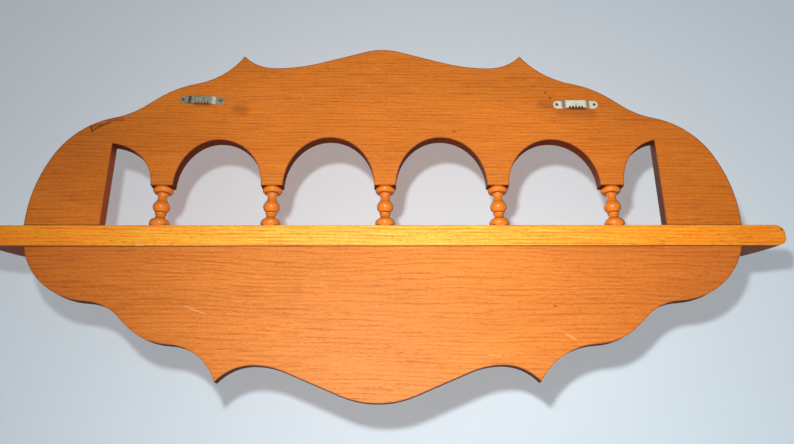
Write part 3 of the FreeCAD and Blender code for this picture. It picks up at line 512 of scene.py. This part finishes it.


# The figure of the boards on end, with painted shade in the creases and a little towards the rim
def spindleMaterial():
    made, wire, shader = newMaterial("turnedOak")
    look = spindleLooks
    place = wire.add("ShaderNodeTexCoord").outputs["Object"]
    upright = wire.add("ShaderNodeMapping", {"Vector": place,
                                             "Rotation": (0.0, math.radians(look["turn"]), 0.0)})
    figure = useGroup(wire, oakFigure, {
        "Vector": upright.outputs[0], "Ring Spacing": look["spacing"], "Pith Y": look["pith"][0],
        "Pith Z": look["pith"][1], "Tilt": look["tilt"], "Warp": look["warp"]})
    masks = useGroup(wire, shapeMasks, {"Arris Width": look["arrisWidth"]})
    fibre = wire.math("SUBTRACT", figure["Fibre"], look["fibreFrom"])
    tone = wire.math("MULTIPLY_ADD", fibre, look["fibreShare"],
                     wire.math("MULTIPLY", figure["Rings"], look["ringShare"]), clamp=True)
    color = wire.mix(tone, paint(*look["light"]), paint(*look["dark"]))
    color = wire.mix(wire.math("MULTIPLY", figure["Pores"], look["poreShare"]), color,
                     paint(*look["pore"]))
    # Painted shade in the creases, from occlusion
    hollow = wire.ease(masks["Crease Shade"], *look["hollowRange"])
    color = wire.mix(hollow, color, paint(*look["hollow"]))
    # Painted shade towards the rim, from how much the surface faces the view
    rimShade = wire.add("ShaderNodeLayerWeight", {"Blend": look["rimShadeBlend"]}).outputs["Facing"]
    color = wire.mix(wire.ease(rimShade, *look["rimShadeRange"]), color, paint(*look["rimShade"]))
    wire.join(color, shader.inputs["Base Color"])
    shader.inputs["Roughness"].default_value = look["rough"]
    shader.inputs["Specular IOR Level"].default_value = look["shine"]
    shader.inputs["Coat Weight"].default_value = look["coat"]
    shader.inputs["Coat Roughness"].default_value = look["coatRough"]
    height = wire.math("SUBTRACT", figure["Fibre"], figure["Pores"])
    wire.join(wire.bump(height, *look["bump"]), shader.inputs["Normal"])
    return made


def swell(start, end, bulge, count):
    share = np.linspace(0.0, 1.0, count)
    along = (np.array(start)[None, :] * (1 - share[:, None])
             + np.array(end)[None, :] * share[:, None])
    along[:, 0] += bulge * np.sin(share * math.pi) ** spindleShape["fullness"]
    return along


def makeSpindles():
    material = spindleMaterial()
    shape = spindleShape
    radius, length = shape["tenon"]
    foot = np.array([(radius, -length), (radius, 0.0)])
    head = np.array([(radius, shape["height"]), (radius, shape["height"] + length)])
    turned = [swell(*stretch) for stretch in shape["stretches"]]
    profile = np.concatenate([foot] + turned + [head]) / perMetre
    faces = ringFaces(len(profile), shape["around"])
    for number in range(1, shape["count"] + 1):
        node = f"spindle_{number}"
        low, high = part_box(node)
        axis = ((low.x + high.x) / 2, (low.y + high.y) / 2, low.z + length / perMetre)
        points = turnedPoints(profile[:, 0], profile[:, 1], shape["around"], axis)
        newPiece(f"turned_spindle_{number}", points, faces, material, node)


makeSpindles()
print("spindles turned")


# Hangers: a strip bent outwards to a bridge, with notches cut into the bridge's lower edge, a
# dimple in the bridge, and a dish around each nail, as radius and depth
hangerShape = {
    "length": 44.5, "height": 8.2, "metal": 0.8, "tab": 8.4, "ramp": 3.9, "standoff": 1.8,
    "corner": 4.0, "bendSoftness": 0.16, "edgeRound": 0.18, "stations": 446, "rows": 15,
    "pitch": 3.0, "mouth": 2.4, "depth": 2.5, "count": 5, "dimple": (0.75, 0.45),
    "nailAt": 18.7, "dish": (2.2, 0.35),
}
# The lean is the rise from one nail to the other. The ramp colours are painted light and shade that
# the two ramps take by the side they face, the one that faces +X first.
hangerLooks = {
    "left": {"metal": (250, 246, 218), "stain": (206, 198, 156), "lean": 0.0, "rough": 0.42,
             "metallic": 0.25, "bends": ((104, 112, 108), (150, 142, 98))},
    "right": {"metal": (196, 194, 162), "stain": (122, 122, 98), "lean": 1.3, "rough": 0.38,
              "metallic": 0.6, "bends": ((74, 84, 78), (255, 252, 226))},
}
hangerFinish = {
    "cloud": ((260.0, 260.0, 420.0), 4.0, 0.6), "cloudRange": (0.4, 0.68), "stainShare": 0.7,
    "rampLightRange": (0.2, 0.38), "rampLightShare": 0.85, "arrisWidth": 0.0003,
    # The crease colour is painted shade, from occlusion
    "hollow": (70, 60, 40), "hollowRange": (0.4, 0.9), "cloudRoughens": 0.18,
    "scratches": ((300.0, 3000.0, 3000.0), 2.0), "bump": (0.2, 0.0001),
}


def hangerMaterial(side, look):
    made, wire, shader = newMaterial(side + "HangerSteel")
    finish = hangerFinish
    place = wire.add("ShaderNodeTexCoord").outputs["Object"]
    cloudy = wire.ease(wire.noise(place, *finish["cloud"]), *finish["cloudRange"])
    masks = useGroup(wire, shapeMasks, {"Arris Width": finish["arrisWidth"]})
    color = wire.mix(wire.math("MULTIPLY", cloudy, finish["stainShare"]),
                     paint(*look["metal"]), paint(*look["stain"]))
    lengthwise = wire.part(wire.add("ShaderNodeNewGeometry").outputs["True Normal"], 0)
    # Painted light and shade on the two ramps, by the side that each faces
    for sign, bend in zip((1.0, -1.0), look["bends"]):
        facing = wire.ease(wire.math("MULTIPLY", lengthwise, sign), *finish["rampLightRange"])
        color = wire.mix(wire.math("MULTIPLY", facing, finish["rampLightShare"]), color, paint(*bend))
    # Painted shade in the creases, from occlusion
    hollow = wire.ease(masks["Crease Shade"], *finish["hollowRange"])
    color = wire.mix(hollow, color, paint(*finish["hollow"]))
    wire.join(color, shader.inputs["Base Color"])
    shader.inputs["Metallic"].default_value = look["metallic"]
    wire.join(wire.math("MULTIPLY_ADD", cloudy, finish["cloudRoughens"], look["rough"]),
              shader.inputs["Roughness"])
    scratches = wire.noise(place, *finish["scratches"])
    wire.join(wire.bump(scratches, *finish["bump"]), shader.inputs["Normal"])
    return made


# The strip is a ring of points round its thickness, carried along its length. The height of its
# middle line over the board is a clamped ramp with soft ends.
def hangerPoints(shape):
    half, high = shape["length"] / 2, shape["height"] / 2
    x = np.linspace(-half, half, shape["stations"])
    reach = np.abs(x)
    ramp = (half - shape["tab"] - reach) / shape["ramp"]
    soft = shape["bendSoftness"]
    rise = (np.sqrt(ramp ** 2 + soft ** 2) - np.sqrt((ramp - 1) ** 2 + soft ** 2) + 1) / 2
    middle = shape["metal"] / 2 + shape["standoff"] * rise
    slope = np.gradient(middle, x)
    normal = np.stack([-slope, np.ones_like(slope)], axis=-1) / np.sqrt(1 + slope ** 2)[:, None]
    into = np.clip(reach - (half - shape["corner"]), 0.0, shape["corner"])
    rounding = shape["corner"] - np.sqrt(shape["corner"] ** 2 - into ** 2)
    top = high - rounding
    steps = np.round(x / shape["pitch"])
    inside = np.abs(steps) <= (shape["count"] - 1) / 2
    bite = np.clip(1 - np.abs(x - steps * shape["pitch"]) / (shape["mouth"] / 2), 0.0, 1.0)
    bottom = -high + rounding + shape["depth"] * bite * inside
    # Round the ring: up the outer face, over the top edge, down the inner face, under the bottom
    share = np.linspace(0.0, 1.0, shape["rows"])
    taper = np.clip(np.minimum(share, 1 - share) * (shape["rows"] - 1), 0, 1)
    outer = np.stack([share, 1 - shape["edgeRound"] * (1 - taper)], axis=-1)
    inner = np.stack([share[::-1], -(1 - shape["edgeRound"] * (1 - taper))], axis=-1)
    ring = np.concatenate([outer, inner])
    z = bottom[:, None] * (1 - ring[None, :, 0]) + top[:, None] * ring[None, :, 0]
    offset = ring[None, :, 1] * shape["metal"] / 2
    px = x[:, None] + normal[:, None, 0] * offset
    py = middle[:, None] + normal[:, None, 1] * offset
    radius, depth = shape["dimple"]
    py = py - depth * np.exp(-(px ** 2 + z ** 2) / radius ** 2)
    radius, depth = shape["dish"]
    far = np.sqrt((np.abs(px) - shape["nailAt"]) ** 2 + z ** 2)
    dish = depth * np.clip(1 - far / radius, 0.0, 1.0)
    py = py - np.where(ring[None, :, 1] > 0, dish, 0.0)
    return np.stack([px, py, z], axis=-1).reshape(-1, 3), ringFaces(shape["stations"], len(ring))


def makeHangers():
    points, faces = hangerPoints(hangerShape)
    faces = [face[::-1] for face in faces]
    for side, look in hangerLooks.items():
        node = "sawtooth_hanger_" + side
        low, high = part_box(node)
        middle = np.array([(low.x + high.x) / 2, 0.0, (low.z + high.z) / 2])
        turn = math.atan2(look["lean"], hangerShape["nailAt"] * 2)
        rotation = np.array([[math.cos(turn), 0.0, -math.sin(turn)], [0.0, 1.0, 0.0],
                             [math.sin(turn), 0.0, math.cos(turn)]])
        placed = (points / perMetre) @ rotation.T + middle
        material = hangerMaterial(side, look)
        newPiece("bent_hanger_" + side, placed, faces, material, node)


makeHangers()
print("hangers bent")


# Nails: a turned profile along Y, from the point in the wood to the domed head. Its ends close on
# a ring of the pole's radius, and the dome is a quarter ellipse, made fuller.
nailShape = {"radius": 0.7, "length": 11.0, "point": 1.6, "headRadius": 1.55, "headHeight": 0.75,
             "fullness": 0.7, "pole": 0.02, "domeSteps": 9, "around": 32, "count": 4}
nailLooks = {"spots": ((900.0, 900.0, 900.0), 3.0), "light": (150, 142, 118), "dark": (64, 54, 40),
             "metallic": 0.8, "rough": 0.25, "spotsRoughen": 0.3}


def nailMaterial():
    made, wire, shader = newMaterial("nailSteel")
    look = nailLooks
    place = wire.add("ShaderNodeTexCoord").outputs["Object"]
    spotted = wire.noise(place, *look["spots"])
    color = wire.mix(spotted, paint(*look["light"]), paint(*look["dark"]))
    wire.join(color, shader.inputs["Base Color"])
    shader.inputs["Metallic"].default_value = look["metallic"]
    wire.join(wire.math("MULTIPLY_ADD", spotted, look["spotsRoughen"], look["rough"]),
              shader.inputs["Roughness"])
    return made


def makeNails():
    material = nailMaterial()
    shape = nailShape
    turn = np.linspace(0.0, 1.0, shape["domeSteps"]) * math.pi / 2
    radii = np.concatenate([[shape["pole"]], [shape["radius"]], [shape["radius"]],
                            shape["headRadius"] * np.cos(turn) ** shape["fullness"]])
    heights = np.concatenate([[0.0], [shape["point"]], [shape["length"]],
                              shape["length"] + shape["headHeight"] * np.sin(turn)])
    radii[-1] = shape["pole"]
    faces = ringFaces(len(radii), shape["around"])
    upright = turnedPoints(radii / perMetre, heights / perMetre, shape["around"], (0.0, 0.0, 0.0))
    for number in range(1, shape["count"] + 1):
        node = f"hanger_nail_{number}"
        low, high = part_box(node)
        across = (low.x + high.x) / 2
        height = (low.z + high.z) / 2
        # Z of the profile becomes Y, and X turns over so that the faces still look outwards
        placed = np.stack([across - upright[:, 0], low.y + upright[:, 2],
                           height + upright[:, 1]], axis=-1)
        newPiece(f"domed_nail_{number}", placed, faces, material, node)


makeNails()
print("nails driven")


# Stage: a pale floor, and a pale wall on the room side of the rack that shows only from the
# photograph's side. The camera and mirror rays see both partly as plain paper colour and partly
# as lit, so that they stay pale and keep the rack's shadow.
stageLooks = {"color": (221, 236, 244), "seen": (240, 242, 245), "lit": 0.75,
              "floorAt": -0.32, "wallAt": -0.135, "size": 4.0}


def stageMaterial():
    made, wire, shader = newMaterial("stagePaper")
    output = shader.outputs[0].links[0].to_node
    wire.tree.nodes.remove(shader)
    diffuse = wire.add("ShaderNodeBsdfDiffuse", {"Color": paint(*stageLooks["color"])})
    plain = wire.add("ShaderNodeEmission", {"Color": paint(*stageLooks["seen"])})
    clear = wire.add("ShaderNodeBsdfTransparent")
    behind = wire.add("ShaderNodeNewGeometry").outputs["Backfacing"]
    rays = wire.add("ShaderNodeLightPath").outputs
    plainly = wire.math("MAXIMUM", rays["Is Camera Ray"],
                        wire.math("MAXIMUM", rays["Is Glossy Ray"], rays["Is Transmission Ray"]))
    share = wire.math("MULTIPLY", plainly, 1.0 - stageLooks["lit"])
    front = wire.add("ShaderNodeMixShader", {0: share, 1: diffuse.outputs[0], 2: plain.outputs[0]})
    both = wire.add("ShaderNodeMixShader", {0: behind, 1: front.outputs[0], 2: clear.outputs[0]})
    wire.join(both.outputs[0], output.inputs["Surface"])
    return made


def makeStage():
    paper = stageMaterial()
    half, low, wall = stageLooks["size"] / 2, stageLooks["floorAt"], stageLooks["wallAt"]
    high = low + half
    sheets = {
        "paleFloor": [(-half, -half, low), (half, -half, low),
                      (half, half, low), (-half, half, low)],
        "paleWall": [(half, wall, low), (-half, wall, low),
                     (-half, wall, high), (half, wall, high)],
    }
    for name, corners in sheets.items():
        mesh = bpy.data.meshes.new(name)
        mesh.from_pydata(corners, [], [(0, 1, 2, 3)])
        mesh.materials.append(paper)
        sheet = bpy.data.objects.new(name, mesh)
        scene.collection.objects.link(sheet)
        sheet.visible_shadow = False


makeStage()

# Light: a small key above and behind the camera, a broad lamp for the room side, and a plain
# world that the camera sees paler than it lights
lampSettings = {
    "key": {"place": (0.041, 0.641, -0.087), "aim": (-0.14, 0.0, -0.05), "size": 0.03,
            "spread": 130.0, "power": 2.25},
    "room": {"place": (0.5, -1.4, 1.1), "aim": (0.0, 0.0, 0.0), "size": 1.0,
             "spread": 180.0, "power": 18.0},
}
worldLooks = {"light": (228, 235, 244), "strength": 0.2, "seen": (232, 234, 236)}

for name, lamp in lampSettings.items():
    data = bpy.data.lights.new(name + "Lamp", "AREA")
    data.size = lamp["size"]
    data.energy = lamp["power"]
    data.spread = math.radians(lamp["spread"])
    lampObject = bpy.data.objects.new(name + "Lamp", data)
    lampObject.location = lamp["place"]
    direction = Vector(lamp["aim"]) - Vector(lamp["place"])
    lampObject.rotation_euler = direction.to_track_quat("-Z", "Y").to_euler()
    scene.collection.objects.link(lampObject)

world = bpy.data.worlds.new("plainWorld")
world.use_nodes = True
world.node_tree.nodes.clear()
wire = Wiring(world.node_tree)
lit = wire.add("ShaderNodeBackground", {"Color": paint(*worldLooks["light"]),
                                        "Strength": worldLooks["strength"]})
seen = wire.add("ShaderNodeBackground", {"Color": paint(*worldLooks["seen"]), "Strength": 1.0})
rays = wire.add("ShaderNodeLightPath").outputs
chosen = wire.add("ShaderNodeMixShader", {0: rays["Is Camera Ray"], 1: lit.outputs[0],
                                          2: seen.outputs[0]})
wire.add("ShaderNodeOutputWorld", {"Surface": chosen.outputs[0]})
scene.world = world
scene.view_settings.view_transform = "Standard"
print("stage and light set")
